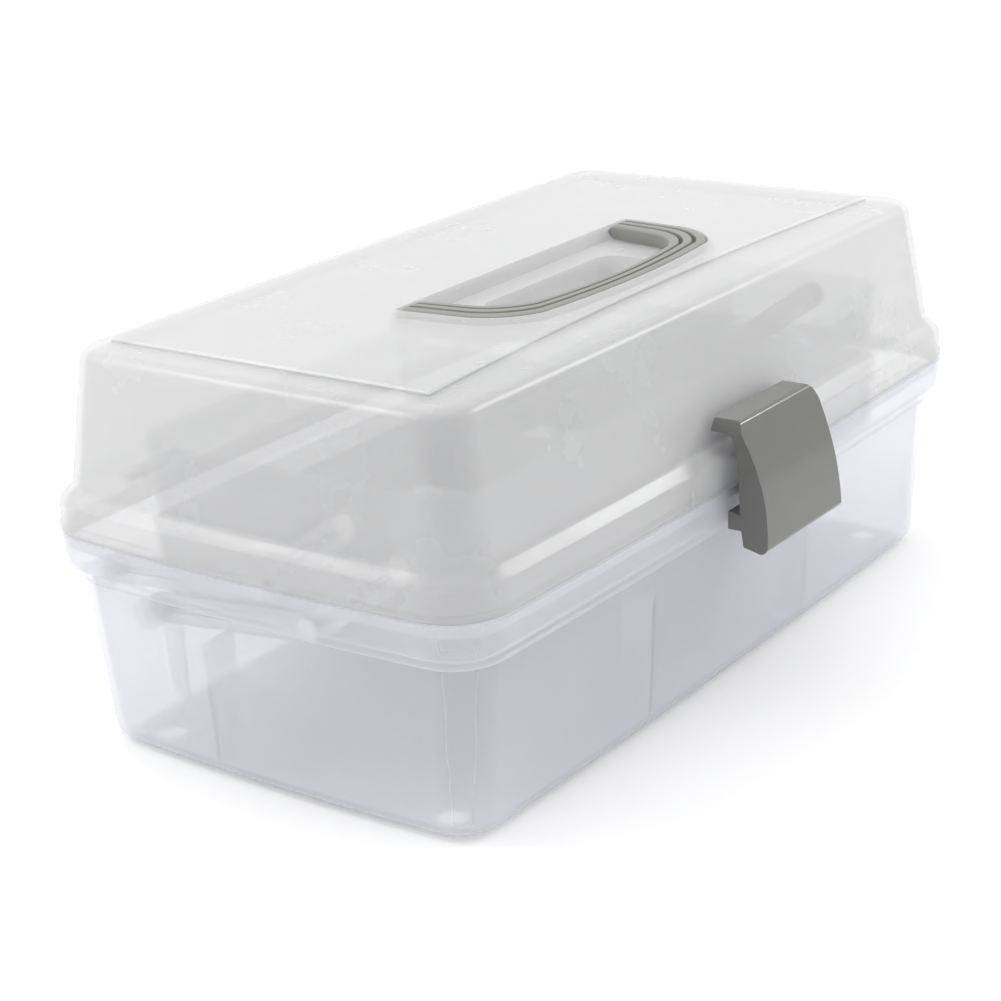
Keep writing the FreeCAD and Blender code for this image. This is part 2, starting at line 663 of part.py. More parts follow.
def latch():
    """Wedge shaped snap latch, hollow at the back, with a bowed front, waisted flanks, a hooked top
    edge, a catch over the bin's band and a hub for its pin. Side profile in the YZ plane."""
    axis = Vector(-size("latch_axis_front"), size("latch_axis_high"), 0)
    top = axis.y + size("latch_rise")
    hook_back, hook_low = axis.x + 4.7, axis.y + 1.5
    # front of the profile: crown, slope, lower face, rounded lower edge, three points to each arc
    crown = [Vector(-97.2, top, 0), Vector(-98.8, top - 0.6, 0), Vector(-99.6, top - 2.1, 0)]
    slope = [crown[2], Vector(-104.9, 88.0, 0), Vector(-107.6, 79.0, 0)]
    lower_face = [slope[2], Vector(-109.1, 70.0, 0), Vector(-109.6, 61.5, 0)]
    lower_edge = [lower_face[2], Vector(-109.0, 59.2, 0), Vector(-107.0, 58.2, 0)]
    # back of the profile: underside, catch, spine and the underside of the hook
    back = [lower_edge[2], Vector(-100.6, 59.6, 0), Vector(-99.5, 64.9, 0), Vector(-94.5, 64.9, 0),
            Vector(-94.5, 71.0, 0), Vector(-98.9, 70.0, 0), Vector(-98.2, 89.5, 0),
            Vector(-97.2, 96.0, 0), Vector(-95.6, hook_low, 0), Vector(hook_back, hook_low, 0),
            Vector(hook_back, top, 0), crown[0]]
    outer = [Part.Arc(*points) for points in (crown, slope, lower_face, lower_edge)]
    outer += [Part.LineSegment(start, end) for start, end in zip(back, back[1:])]
    body = doc.addObject("PartDesign::Body", "latch_shell")
    pad(body, sketch_on(body, "YZ_Plane", "latch_profile", outer), "latch_block",
        "Sizes.latch_low_width", symmetric=True)
    # waisted flanks and rounded top corners, cut square to the front
    low, middle, high = lower_edge[2].y, 80.0, 95.0
    for side, sign in SIDES:
        beyond = sign * (size("latch_low_width") / 2 + 5)
        low_x, waist_x, high_x, crown_x = (sign * size(f"latch_{place}_width") / 2
                                           for place in ("low", "waist", "high", "crown"))
        corner_x = lerp(high_x, crown_x, 0.29)
        outside = [Vector(crown_x, top, 0), Vector(crown_x, top + 5, 0), Vector(beyond, top + 5, 0),
                   Vector(beyond, low - 5, 0), Vector(low_x, low - 5, 0), Vector(low_x, low, 0)]
        flank = [Part.Arc(outside[-1], Vector(waist_x, middle, 0), Vector(high_x, high, 0)),
                 Part.Arc(Vector(high_x, high, 0), Vector(corner_x, lerp(high, top, 0.71), 0), outside[0])]
        flank += [Part.LineSegment(start, end) for start, end in zip(outside, outside[1:])]
        pocket(body, sketch_on(body, "XZ_Plane", f"latch_{side}_flank", flank), f"latch_{side}_taper",
               "300", symmetric=True)
    # the hollow behind the front wall, one wall inside the profile
    opening = hook_back - size("latch_wall")
    hollow = loop([Vector(opening, hook_low, 0), Vector(-98.2, hook_low, 0), Vector(-102.9, 88.0, 0),
                   Vector(-105.6, 79.0, 0), Vector(-106.9, 70.0, 0), Vector(-107.0, 60.6, 0),
                   Vector(-102.6, 60.9, 0), Vector(-100.9, 73.4, 0), Vector(opening, 73.4, 0)])
    pocket(body, sketch_on(body, "YZ_Plane", "latch_hollow", hollow), "latch_hollow_cut",
           "Sizes.latch_waist_width - 2 * Sizes.latch_wall", symmetric=True)
    # slots in the hook where the lid's ears stand
    for side, sign in SIDES:
        low_x = sign * (size("latch_ear_inner") - 0.4)
        high_x = sign * (size("latch_ear_inner") + size("latch_ear_thick") + 0.4)
        slot = loop([Vector(low_x, hook_low - 2, 0), Vector(high_x, hook_low - 2, 0),
                     Vector(high_x, axis.y + 3.4, 0), Vector(low_x, axis.y + 3.4, 0)])
        cut = sketch_on(body, "XZ_Plane", f"latch_{side}_slot", slot)
        cut.AttachmentOffset = Placement(Vector(0, 0, -hook_back - CUT_MARGIN), Rotation())
        pocket(body, cut, f"latch_{side}_slot_cut", "2 * Sizes.latch_hub_radius + 3", reverse=True)
    body.Placement = Placement(SHIFT, Rotation())
    half = size("latch_hub_width") / 2
    hub = cylinder_x("latch_hub", -half, axis.x, axis.y,
                     "Sizes.latch_hub_radius", "Sizes.latch_hub_width")
    web = doc.addObject("Part::Box", "latch_web")
    web.setExpression("Length", "Sizes.latch_hub_width")
    web.setExpression("Width", "Sizes.latch_hub_radius")
    web.Height = top - 1.5 - axis.y
    web.Placement = Placement(Vector(-half, axis.x - size("latch_hub_radius"), axis.y) + SHIFT, Rotation())
    fused = doc.addObject("Part::MultiFuse", "latch_with_hub")
    fused.Shapes = [body, hub, web]
    bore = cylinder_x("latch_bore", -half - 1, axis.x, axis.y,
                      "Sizes.latch_pin_radius + Sizes.running_gap", "Sizes.latch_hub_width + 2")
    cut = doc.addObject("Part::Cut", "latch")
    cut.Base, cut.Tool = fused, bore
    return keep(cut, "latch")


# ---------------------------------------------------------------- assembly

moulding("base_bin", base_bin())
moulding("lid", lid())
moulding("lower_tray", tray(size("lower_tray_low"), "lower", [], [(-70, -1, 1), (0, -1, 1), (70, -1, 1)]))
moulding("upper_tray", tray(size("upper_tray_low"), "upper", [(-1, 1)],
                            [(-70, -1, 0), (0, -1, 1), (70, -1, 0)]))
handle()
latch()
for side, sign in SIDES:
    arm(f"{side}_front_arm", sign, Vector(0, 0, 0))
    arm(f"{side}_rear_arm", sign, rear_arm_step())
    rivets(f"{side}_bin_rivets", sign, "bin")
    rivets(f"{side}_lower_tray_rivets", sign, "lower")
    rivets(f"{side}_upper_tray_rivets", sign, "upper")
    keep(cylinder_x(f"{side}_hinge_pin", sign * size("hinge_across") - size("hinge_pin_length") / 2,
                    size("hinge_back"), size("hinge_high"),
                    "Sizes.hinge_pin_radius", "Sizes.hinge_pin_length"), f"{side}_hinge_pin")
ear_end = size("latch_ear_inner") + size("latch_ear_thick")
keep(cylinder_x("latch_pin", -ear_end, -size("latch_axis_front"), size("latch_axis_high"),
                "Sizes.latch_pin_radius", "2 * (Sizes.latch_ear_inner + Sizes.latch_ear_thick)"), "latch_pin")
doc.recompute()

for item in doc.Objects:
    if "Invalid" in item.State or "Error" in item.State:
        raise RuntimeError(f"{item.Label} failed: {item.State}")
for node in NODES:
    if node.Shape.isNull() or not node.Shape.isValid():
        raise RuntimeError(f"{node.Label} has a bad shape")

os.makedirs("parts", exist_ok=True)
whole = FreeCAD.BoundBox()
for node in NODES:
    node.Shape.exportStep(f"parts/{node.Label}.step")
    whole.add(node.Shape.BoundBox)
    print(f"{node.Label:26s} {len(node.Shape.Solids)} solids {node.Shape.Volume / 1000:8.2f} cm3")
print("size", [round(value, 2) for value in (whole.XLength, whole.YLength, whole.ZLength)],
      "middle", [round(value, 2) for value in (whole.Center.x, whole.Center.y, whole.ZMin)])
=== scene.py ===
"""Clear plastic art supply box: frosted bin and lid, two trays on arms, grey handle and latch."""

import math

import bmesh
import bpy
import numpy as np
from mathutils import Matrix, Vector


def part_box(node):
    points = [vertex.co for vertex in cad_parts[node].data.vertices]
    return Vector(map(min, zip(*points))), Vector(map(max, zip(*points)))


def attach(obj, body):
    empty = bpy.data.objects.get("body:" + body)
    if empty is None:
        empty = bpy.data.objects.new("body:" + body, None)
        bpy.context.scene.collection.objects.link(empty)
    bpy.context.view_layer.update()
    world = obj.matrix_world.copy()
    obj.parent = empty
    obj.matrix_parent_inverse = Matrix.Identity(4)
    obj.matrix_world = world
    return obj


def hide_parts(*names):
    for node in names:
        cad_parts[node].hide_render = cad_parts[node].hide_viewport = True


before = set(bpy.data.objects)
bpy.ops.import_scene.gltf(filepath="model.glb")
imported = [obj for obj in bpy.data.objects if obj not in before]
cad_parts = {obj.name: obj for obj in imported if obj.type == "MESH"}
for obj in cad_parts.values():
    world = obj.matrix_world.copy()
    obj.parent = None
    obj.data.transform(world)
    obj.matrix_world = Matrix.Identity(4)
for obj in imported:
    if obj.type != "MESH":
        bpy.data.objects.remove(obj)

bl_info = {
    "name": "Art supply box",
    "version": (1, 0, 0),
    "blender": (4, 5, 0),
    "location": "View3D > Sidebar > Art box",
    "description": "Dresses the packed art supply box and sets up its studio",
    "category": "Object",
}

MM = 0.001
POLYPROPYLENE_IOR, HARD_PLASTIC_IOR = 1.49, 1.5
RIM_BLEND = 0.2              # how far the denser look of clear plastic reaches in from its rims
FROST_RELIEF = 0.00005       # height of the bumps in frosted plastic
SCUFF_RELIEF = 0.00003       # height of the bumps in hard plastic
HANDLE_WIDTH = 0.009         # width that the roundings of the handle's section are drawn for
HANDLE_CROWN = 0.0003        # how far the handle's top swells in the middle
HANDLE_SHARP = math.radians(50)
GROOVE_MIDDLES = (0.315, 0.665)      # shares of the handle's width
GROOVE_REACH = 0.07                  # half the width of a groove, as a share
RAIL_STEPS, SECTION_STEPS, UNDERSIDE_STEPS, LEG_TURN_STEPS = 14, 61, 25, 8
STUB_RADIUS = 0.0015         # radius of the handle's pivot stubs
STUB_ROOT = 0.002            # how far a stub starts inside the leg
SENSOR_WIDTH = 36.0          # millimetres


# ---------------------------------------------------------------- settings

class ArtBoxColours(bpy.types.PropertyGroup):
    """Colours of the box's plastics and metal"""
    bin_tint: bpy.props.FloatVectorProperty(
        name="Bin", description="Colour of the frosted bin", subtype="COLOR", size=3,
        min=0, max=1, default=(0.83, 0.835, 0.90))
    lid_tint: bpy.props.FloatVectorProperty(
        name="Lid", description="Colour of the frosted lid", subtype="COLOR", size=3,
        min=0, max=1, default=(0.70, 0.70, 0.70))
    tray_tint: bpy.props.FloatVectorProperty(
        name="Trays", description="Colour of the trays", subtype="COLOR", size=3,
        min=0, max=1, default=(0.74, 0.75, 0.80))
    handle_grey: bpy.props.FloatVectorProperty(
        name="Handle", description="Colour of the handle", subtype="COLOR", size=3,
        min=0, max=1, default=(0.25, 0.25, 0.235))
    latch_grey: bpy.props.FloatVectorProperty(
        name="Latch", description="Colour of the latch", subtype="COLOR", size=3,
        min=0, max=1, default=(0.115, 0.115, 0.11))


class ArtBoxShape(bpy.types.PropertyGroup):
    """Fine sizes that the moulded pieces are finished with"""
    edge_round: bpy.props.FloatProperty(
        name="Edge rounding", description="Rounding of moulded edges", unit="LENGTH",
        min=0.00005, max=0.001, default=0.0004)
    groove_depth: bpy.props.FloatProperty(
        name="Handle grooves", description="Depth of the two grooves along the handle",
        unit="LENGTH", min=0.0002, max=0.003, default=0.0014)
    handle_edge: bpy.props.FloatProperty(
        name="Handle rounding", description="Rounding of the handle's ribs", unit="LENGTH",
        min=0.0002, max=0.002, default=0.0008)


class ArtBoxStudio(bpy.types.PropertyGroup):
    """The camera and the lights"""
    camera_place: bpy.props.FloatVectorProperty(
        name="Camera", description="Where the camera stands", subtype="XYZ", unit="LENGTH",
        size=3, default=(-0.6179, -0.4454, 0.3322))
    azimuth: bpy.props.FloatProperty(
        name="Azimuth", description="Direction of view about Z, 0 looks along +Y",
        subtype="ANGLE", default=math.radians(-52.884))
    elevation: bpy.props.FloatProperty(
        name="Elevation", description="How far the camera looks down", subtype="ANGLE",
        default=math.radians(20.202))
    roll: bpy.props.FloatProperty(
        name="Roll", description="Turn of the picture", subtype="ANGLE",
        default=math.radians(-3.28))
    lens: bpy.props.FloatProperty(
        name="Lens", description="Focal length in millimetres", min=10, max=300, default=80.35)
    floor_size: bpy.props.FloatProperty(
        name="Floor", description="Side of the floor", unit="LENGTH", min=1, max=50, default=16.0)


# ---------------------------------------------------------------- mesh helpers

def new_piece(name, vertices, faces, shade, body, material, slot, *replaced):
    """Makes a mesh object from arrays, with how deep each point lies in a groove for the painted
    groove shade, and says what it rides on and stands for."""
    mesh = bpy.data.meshes.new(name)
    mesh.from_pydata(vertices.tolist(), [], faces.tolist())
    # the groove mask is kept as a point attribute that sets the painted shade in the grooves
    mesh.attributes.new("painted_groove_shade", "FLOAT", "POINT").data.foreach_set("value", shade)
    tidy_mesh(mesh)
    return place_piece(name, mesh, body, material, slot, *replaced)


def place_piece(name, mesh, body, material, slot, *replaced):
    """Links a finished mesh as a piece of the box."""
    piece = bpy.data.objects.new(name, mesh)
    bpy.context.scene.collection.objects.link(piece)
    mesh.materials.clear()
    mesh.materials.append(material)
    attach(piece, body)
    if replaced:
        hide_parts(*replaced)
    return piece


def tidy_mesh(mesh, apart=1e-6, outwards=True):
    """Merges doubled points and turns the faces outwards."""
    work = bmesh.new()
    work.from_mesh(mesh)
    bmesh.ops.remove_doubles(work, verts=work.verts, dist=apart)
    bmesh.ops.dissolve_degenerate(work, edges=work.edges, dist=apart)
    if outwards:
        bmesh.ops.recalc_face_normals(work, faces=work.faces)
    work.to_mesh(mesh)
    work.free()
    mesh.update()


def soften(piece, width, sharp=35.0):
    """Smooth shading up to an angle, a small round on the sharper edges, and even normals."""
    mesh = piece.data
    mesh.polygons.foreach_set("use_smooth", np.ones(len(mesh.polygons), bool))
    mesh.set_sharp_from_angle(angle=math.radians(sharp))
    bevel = piece.modifiers.new("moulded_edge", "BEVEL")
    bevel.width, bevel.segments = width, 2
    bevel.limit_method, bevel.angle_limit = "ANGLE", math.radians(sharp)
    bevel.harden_normals = False
    weighted = piece.modifiers.new("even_normals", "WEIGHTED_NORMAL")
    weighted.keep_sharp = True
    weighted.weight = 60


def moulded_copy(name, node, body, material, slot, width):
    """A merged copy of a CAD node with softened edges, standing for it."""
    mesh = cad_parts[node].data.copy()
    mesh.name = name
    tidy_mesh(mesh, apart=5e-6, outwards=False)
    piece = place_piece(name, mesh, body, material, slot, node)
    soften(piece, width)
    return piece


def arc_through(start, middle, end, count):
    """Points along the circle through three points: centre from the two chords' bisectors, then
    centre + radius * (cos a, sin a) for even steps of a."""
    (ax, ay), (bx, by), (cx, cy) = start, middle, end
    aa, bb, cc = ax**2 + ay**2, bx**2 + by**2, cx**2 + cy**2
    span = 2 * (ax * (by - cy) + bx * (cy - ay) + cx * (ay - by))
    ux = (aa * (by - cy) + bb * (cy - ay) + cc * (ay - by)) / span
    uy = (aa * (cx - bx) + bb * (ax - cx) + cc * (bx - ax)) / span
    angles = np.unwrap([math.atan2(ay - uy, ax - ux), math.atan2(by - uy, bx - ux),
                        math.atan2(cy - uy, cx - ux)])
    turn = np.linspace(angles[0], angles[2], count)
    radius = math.hypot(ax - ux, ay - uy)
    return np.stack([ux + radius * np.cos(turn), uy + radius * np.sin(turn)], 1)


def grid_faces(rows, columns):
    """Four-sided faces of a rows x columns grid of points, closed round its columns."""
    row, column = np.meshgrid(np.arange(rows - 1), np.arange(columns), indexing="ij")
    after = (column + 1) % columns
    return np.stack([row * columns + column, row * columns + after,
                     (row + 1) * columns + after, (row + 1) * columns + column], -1).reshape(-1, 4)


# ---------------------------------------------------------------- material helpers

class Shading:
    """A short way to build a material's nodes."""

    def __init__(self, tree):
        self.nodes, self.links = tree.nodes, tree.links

    def add(self, kind, settings=None, **inputs):
        node = self.nodes.new(kind)
        for key, value in (settings or {}).items():
            setattr(node, key, value)
        for key, value in inputs.items():
            self.feed(node, key.replace("_", " "), value)
        return node

    def sum_of_product(self, value, factor, rest):
        """value * factor + rest"""
        node = self.add("ShaderNodeMath", {"operation": "MULTIPLY_ADD"})
        for index, item in enumerate((value, factor, rest)):
            self.feed(node, str(index), item)
        return node.outputs[0]

    def scaled(self, colour, factor):
        """A colour times a factor"""
        node = self.add("ShaderNodeVectorMath", {"operation": "SCALE"}, Scale=factor)
        self.feed(node, "0", colour)
        return node.outputs[0]

    def feed(self, node, name, value):
        socket = node.inputs[int(name)] if name.isdigit() else node.inputs[name]
        if isinstance(value, bpy.types.NodeSocket):
            self.links.new(value, socket)
        else:
            socket.default_value = value


def group_with(name, inputs):
    """An empty shader group with named inputs, whose outputs are a colour, a roughness and a
    height."""
    tree = bpy.data.node_groups.new(name, "ShaderNodeTree")
    for label, kind, default in inputs:
        socket = tree.interface.new_socket(label, in_out="INPUT", socket_type=kind)
        socket.default_value = default
    for label, kind in (("Color", "Color"), ("Roughness", "Float"), ("Height", "Float")):
        tree.interface.new_socket(label, in_out="OUTPUT", socket_type=f"NodeSocket{kind}")
    shading = Shading(tree)
    return tree, shading, shading.add("NodeGroupInput"), shading.add("NodeGroupOutput")


def frost_group():
    """Moulded polypropylene: a cloudy tint, a fine frosted grain and slow flow waves."""
    tree, shading, source, result = group_with(
        "moulded_frost",
        [("Tint", "NodeSocketColor", (1, 1, 1, 1)), ("Cloud", "NodeSocketFloat", 0.05),
         ("Roughness", "NodeSocketFloat", 0.3), ("Grain", "NodeSocketFloat", 1.0)])
    place = shading.add("ShaderNodeTexCoord").outputs["Object"]
    cloud = shading.add("ShaderNodeTexNoise", Vector=place, Scale=28.0, Detail=4.0, Roughness=0.6)
    grain = shading.add("ShaderNodeTexNoise", Vector=place, Scale=900.0, Detail=2.0, Roughness=0.6)
    flow = shading.add("ShaderNodeTexNoise", Vector=place, Scale=9.0, Detail=1.0, Roughness=0.4)
    centred = shading.sum_of_product(cloud.outputs["Fac"], 1.0, -0.5)
    swing = shading.sum_of_product(centred, source.outputs["Cloud"], 1.0)
    rough = shading.sum_of_product(centred, 0.12, source.outputs["Roughness"])
    fine = shading.sum_of_product(grain.outputs["Fac"], source.outputs["Grain"], 0.0)
    shading.feed(result, "Color", shading.scaled(source.outputs["Tint"], swing))
    shading.feed(result, "Roughness", rough)
    shading.feed(result, "Height", shading.sum_of_product(flow.outputs["Fac"], 3.0, fine))
    return tree


def scuff_group():
    """Handling marks on hard plastic: fine hairlines in two directions and soft smudges."""
    tree, shading, source, result = group_with(
        "handling_marks",
        [("Color", "NodeSocketColor", (0.2, 0.2, 0.2, 1)), ("Roughness", "NodeSocketFloat", 0.3),
         ("Marks", "NodeSocketFloat", 0.5)])
    place = shading.add("ShaderNodeTexCoord").outputs["Object"]
    smudge = shading.add("ShaderNodeTexNoise", Vector=place, Scale=60.0, Detail=3.0, Roughness=0.55)
    turned = shading.add("ShaderNodeMapping", Vector=place, Rotation=(0.3, 0.9, 0.4),
                         Scale=(30.0, 900.0, 900.0))
    hairs = shading.add("ShaderNodeTexNoise", Vector=turned.outputs[0], Scale=1.0, Detail=2.0,
                        Roughness=0.5)
    thin = shading.add("ShaderNodeMapRange", Value=hairs.outputs["Fac"], From_Min=0.62,
                       From_Max=0.78)
    grain = shading.add("ShaderNodeTexNoise", Vector=place, Scale=1500.0, Detail=1.0)
    marks = shading.sum_of_product(thin.outputs[0], source.outputs["Marks"], 0.0)
    rough = shading.sum_of_product(marks, 0.2, source.outputs["Roughness"])
    lighter = shading.sum_of_product(smudge.outputs["Fac"], 0.16, 0.92)
    shading.feed(result, "Color", shading.scaled(source.outputs["Color"], lighter))
    shading.feed(result, "Roughness", shading.sum_of_product(smudge.outputs["Fac"], 0.1, rough))
    shading.feed(result, "Height", grain.outputs["Fac"])
    return tree


def shared_group(name, make):
    return bpy.data.node_groups.get(name) or make()


def started_material(name):
    """A new material with its Principled shader."""
    material = bpy.data.materials.new(name)
    material.use_nodes = True
    shading = Shading(material.node_tree)
    return material, shading, material.node_tree.nodes["Principled BSDF"]


def frosted_plastic(name, tint, face_cover, edge_cover, roughness, cloud, grain, bump):
    """Translucent polypropylene: it covers least where it is seen square on (face_cover) and most
    at its rims (edge_cover)."""
    material, shading, shader = started_material(name)
    frost = shared_group("moulded_frost", frost_group)
    group = shading.add("ShaderNodeGroup", {"node_tree": frost}, Tint=(*tint, 1), Cloud=cloud,
                        Roughness=roughness, Grain=grain)
    shading.feed(shader, "Base Color", group.outputs["Color"])
    shading.feed(shader, "Roughness", group.outputs["Roughness"])
    facing = shading.add("ShaderNodeLayerWeight", Blend=RIM_BLEND)
    cover = shading.add("ShaderNodeMapRange", Value=facing.outputs["Facing"], To_Min=face_cover,
                        To_Max=edge_cover)
    shading.feed(shader, "Alpha", cover.outputs[0])
    relief = shading.add("ShaderNodeBump", Height=group.outputs["Height"])
    relief.inputs["Strength"].default_value = bump
    relief.inputs["Distance"].default_value = FROST_RELIEF
    shading.feed(shader, "Normal", relief.outputs[0])
    shader.inputs["IOR"].default_value = POLYPROPYLENE_IOR
    shader.inputs["Specular IOR Level"].default_value = 0.5
    return material


def hard_plastic(name, colour, roughness, marks, bump, coat=0.0, groove=0.0):
    """Opaque moulded plastic with light handling marks, and painted shade that darkens it in
    grooves.
    """
    material, shading, shader = started_material(name)
    scuffs = shared_group("handling_marks", scuff_group)
    group = shading.add("ShaderNodeGroup", {"node_tree": scuffs}, Color=(*colour, 1),
                        Roughness=roughness, Marks=marks)
    finish = group.outputs["Color"]
    if groove:
        # painted shade: the colour is darkened by the per-point groove mask so the grooves look
        # shaded
        depth = shading.add("ShaderNodeAttribute", {"attribute_name": "painted_groove_shade"})
        left = shading.sum_of_product(depth.outputs["Fac"], -groove, 1.0)
        finish = shading.scaled(finish, left)
    shading.feed(shader, "Base Color", finish)
    shading.feed(shader, "Roughness", group.outputs["Roughness"])
    relief = shading.add("ShaderNodeBump", Height=group.outputs["Height"])
    relief.inputs["Strength"].default_value = bump
    relief.inputs["Distance"].default_value = SCUFF_RELIEF
    shading.feed(shader, "Normal", relief.outputs[0])
    shader.inputs["IOR"].default_value = HARD_PLASTIC_IOR
    shader.inputs["Coat Weight"].default_value = coat
    shader.inputs["Coat Roughness"].default_value = 0.06
    return material


def drawn_steel(name):
    """Steel wire with fine lines along its length."""
    material, shading, shader = started_material(name)
    place = shading.add("ShaderNodeTexCoord").outputs["Object"]
    along = shading.add("ShaderNodeMapping", Vector=place, Scale=(60.0, 2500.0, 2500.0))
    lines = shading.add("ShaderNodeTexNoise", Vector=along.outputs[0], Scale=1.0, Detail=2.0)
    rough = shading.add("ShaderNodeMapRange", Value=lines.outputs["Fac"], To_Min=0.18, To_Max=0.42)
    shade = shading.add("ShaderNodeMix", {"data_type": "RGBA"})
    shade.inputs["A"].default_value = (0.5, 0.5, 0.51, 1)
    shade.inputs["B"].default_value = (0.7, 0.7, 0.7, 1)
    shading.feed(shade, "Factor", lines.outputs["Fac"])
    shading.links.new(shade.outputs["Result"], shader.inputs["Base Color"])
    shading.feed(shader, "Roughness", rough.outputs[0])
    shader.inputs["Metallic"].default_value = 1.0
    return material


def set_node_material(nodes, material):
    """Gives CAD nodes that stay as they are a finish."""
    for name in nodes:
        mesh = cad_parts[name].data
        mesh.materials.clear()
        mesh.materials.append(material)


# ---------------------------------------------------------------- the pieces

class ArtBoxOperator(bpy.types.Operator):
    """Shared base of the operators that make the pieces"""
    bl_options = {"REGISTER", "UNDO"}


class ARTBOX_OT_bin(ArtBoxOperator):
    """Makes the frosted bin"""
    bl_idname = "artbox.make_bin"
    bl_label = "Bin"

    def execute(self, context):
        colours, shape = context.scene.artbox_colours, context.scene.artbox_shape
        frosted = frosted_plastic("frosted_bin", colours.bin_tint, face_cover=0.26, edge_cover=0.5,
                                  roughness=0.3, cloud=0.06, grain=1.0, bump=0.35)
        moulded_copy("bin_shell", "base_bin", "base", frosted, "frosted_bin", shape.edge_round)
        return {"FINISHED"}


class ARTBOX_OT_lid(ArtBoxOperator):
    """Makes the frosted lid"""
    bl_idname = "artbox.make_lid"
    bl_label = "Lid"

    def execute(self, context):
        colours, shape = context.scene.artbox_colours, context.scene.artbox_shape
        frosted = frosted_plastic("frosted_lid", colours.lid_tint, face_cover=0.36, edge_cover=0.7,
                                  roughness=0.26, cloud=0.04, grain=1.0, bump=0.35)
        moulded_copy("lid_shell", "lid", "lid", frosted, "frosted_lid", shape.edge_round)
        return {"FINISHED"}


class ARTBOX_OT_trays(ArtBoxOperator):
    """Makes the two trays"""
    bl_idname = "artbox.make_trays"
    bl_label = "Trays"

    def execute(self, context):
        colours, shape = context.scene.artbox_colours, context.scene.artbox_shape
        clear = frosted_plastic("clear_tray", colours.tray_tint, face_cover=0.22, edge_cover=0.5,
                                roughness=0.25, cloud=0.04, grain=0.8, bump=0.3)
        for node in ("lower_tray", "upper_tray"):
            moulded_copy(f"{node}_shell", node, node, clear, "clear_tray", shape.edge_round)
        return {"FINISHED"}


class ARTBOX_OT_small_parts(ArtBoxOperator):
    """Finishes the arms, rivets and pins"""
    bl_idname = "artbox.make_small_parts"
    bl_label = "Arms, rivets and pins"

    def execute(self, context):
        colours, shape = context.scene.artbox_colours, context.scene.artbox_shape
        clear = frosted_plastic("clear_arm", colours.tray_tint, face_cover=0.45, edge_cover=0.9,
                                roughness=0.22, cloud=0.03, grain=0.5, bump=0.25)
        nylon = hard_plastic("rivet_nylon", (0.72, 0.72, 0.7), roughness=0.35, marks=0.2, bump=0.2)
        steel = drawn_steel("pin_steel")
        for side in ("left", "right"):
            for place in ("front", "rear"):
                moulded_copy(f"{side}_{place}_link", f"{side}_{place}_arm", f"{place}_arms", clear,
                             "clear_arm", shape.edge_round)
            for body, owner in (("base", "bin"), ("lower_tray", "lower_tray"),
                                ("upper_tray", "upper_tray")):
                moulded_copy(f"{side}_{owner}_rivet_pair", f"{side}_{owner}_rivets", body, nylon,
                             "rivet_plastic", shape.edge_round / 2)
        set_node_material(("left_hinge_pin", "right_hinge_pin", "latch_pin"), steel)
        return {"FINISHED"}


def handle_rails(count):
    """Outer and inner edges of the handle from its right leg to its left leg: a straight leg, a
    corner arc, the bar's long arc, and the same mirrored, in metres."""
    edges = []
    for points in (((68.5, 1.0), (66.5, -22.0), (61.5, -33.5), (51.0, -41.8), (0.0, -45.6)),
                   ((57.0, 1.0), (54.5, -15.0), (50.0, -25.5), (40.0, -32.6), (0.0, -36.6))):
        leg, first, corner, bar, middle = points
        half = np.vstack([np.linspace(leg, first, count)[:-1],
                          arc_through(first, corner, bar, count)[:-1],
                          arc_through(bar, middle, (-bar[0], bar[1]), 2 * count - 1)[:count]])
        mirrored = half[-2::-1] * (-1, 1)
        edges.append(np.vstack([half, mirrored]) * MM)
    return edges


def handle_profile(thick, depth, edge, width):
    """Closed outline of the handle's section as (share of the width, height): three round-topped
    ribs made by a raised cosine in the grooves, over a flat underside with rounded corners."""
    share = np.linspace(0, 1, SECTION_STEPS)
    groove = np.zeros_like(share)
    for middle in GROOVE_MIDDLES:
        near = np.clip(np.abs(share - middle) / GROOVE_REACH, 0, 1)
        groove = np.maximum(groove, 0.5 + 0.5 * np.cos(math.pi * near**1.6))
    shoulder = np.clip(np.minimum(share, 1 - share) * width / edge, 0, 1)
    rounding = edge * (1 - np.sqrt(1 - (1 - shoulder) ** 2))
    crown = HANDLE_CROWN * np.sin(math.pi * share)
    top = thick - HANDLE_CROWN + crown - depth * groove - rounding
    low_share = np.linspace(1, 0, UNDERSIDE_STEPS)[1:-1]
    low_shoulder = np.clip(np.minimum(low_share, 1 - low_share) * width / edge, 0, 1)
    low = edge * (1 - np.sqrt(1 - (1 - low_shoulder) ** 2))
    outline = np.concatenate([share, low_share]), np.concatenate([top, low])
    # the last array marks the grooves; besides shaping them it sets the painted shade in them
    return *outline, np.concatenate([groove, np.zeros_like(low)])


def capped_rod(radius, start, end, along, high, sides=32, edge=0.0003):
    """A round bar along X with bevelled rims: rings of radius r at x, closed to a point at each
    end."""
    x = np.array([start, start, start + edge, end - edge, end, end])
    r = np.array([0.0, radius - edge, radius, radius, radius - edge, 0.0])
    turn = np.linspace(0, 2 * math.pi, sides, endpoint=False)
    points = np.stack([np.repeat(x[:, None], sides, 1), along + r[:, None] * np.cos(turn),
                       high + r[:, None] * np.sin(turn)], -1).reshape(-1, 3)
    return points, grid_faces(len(x), sides)


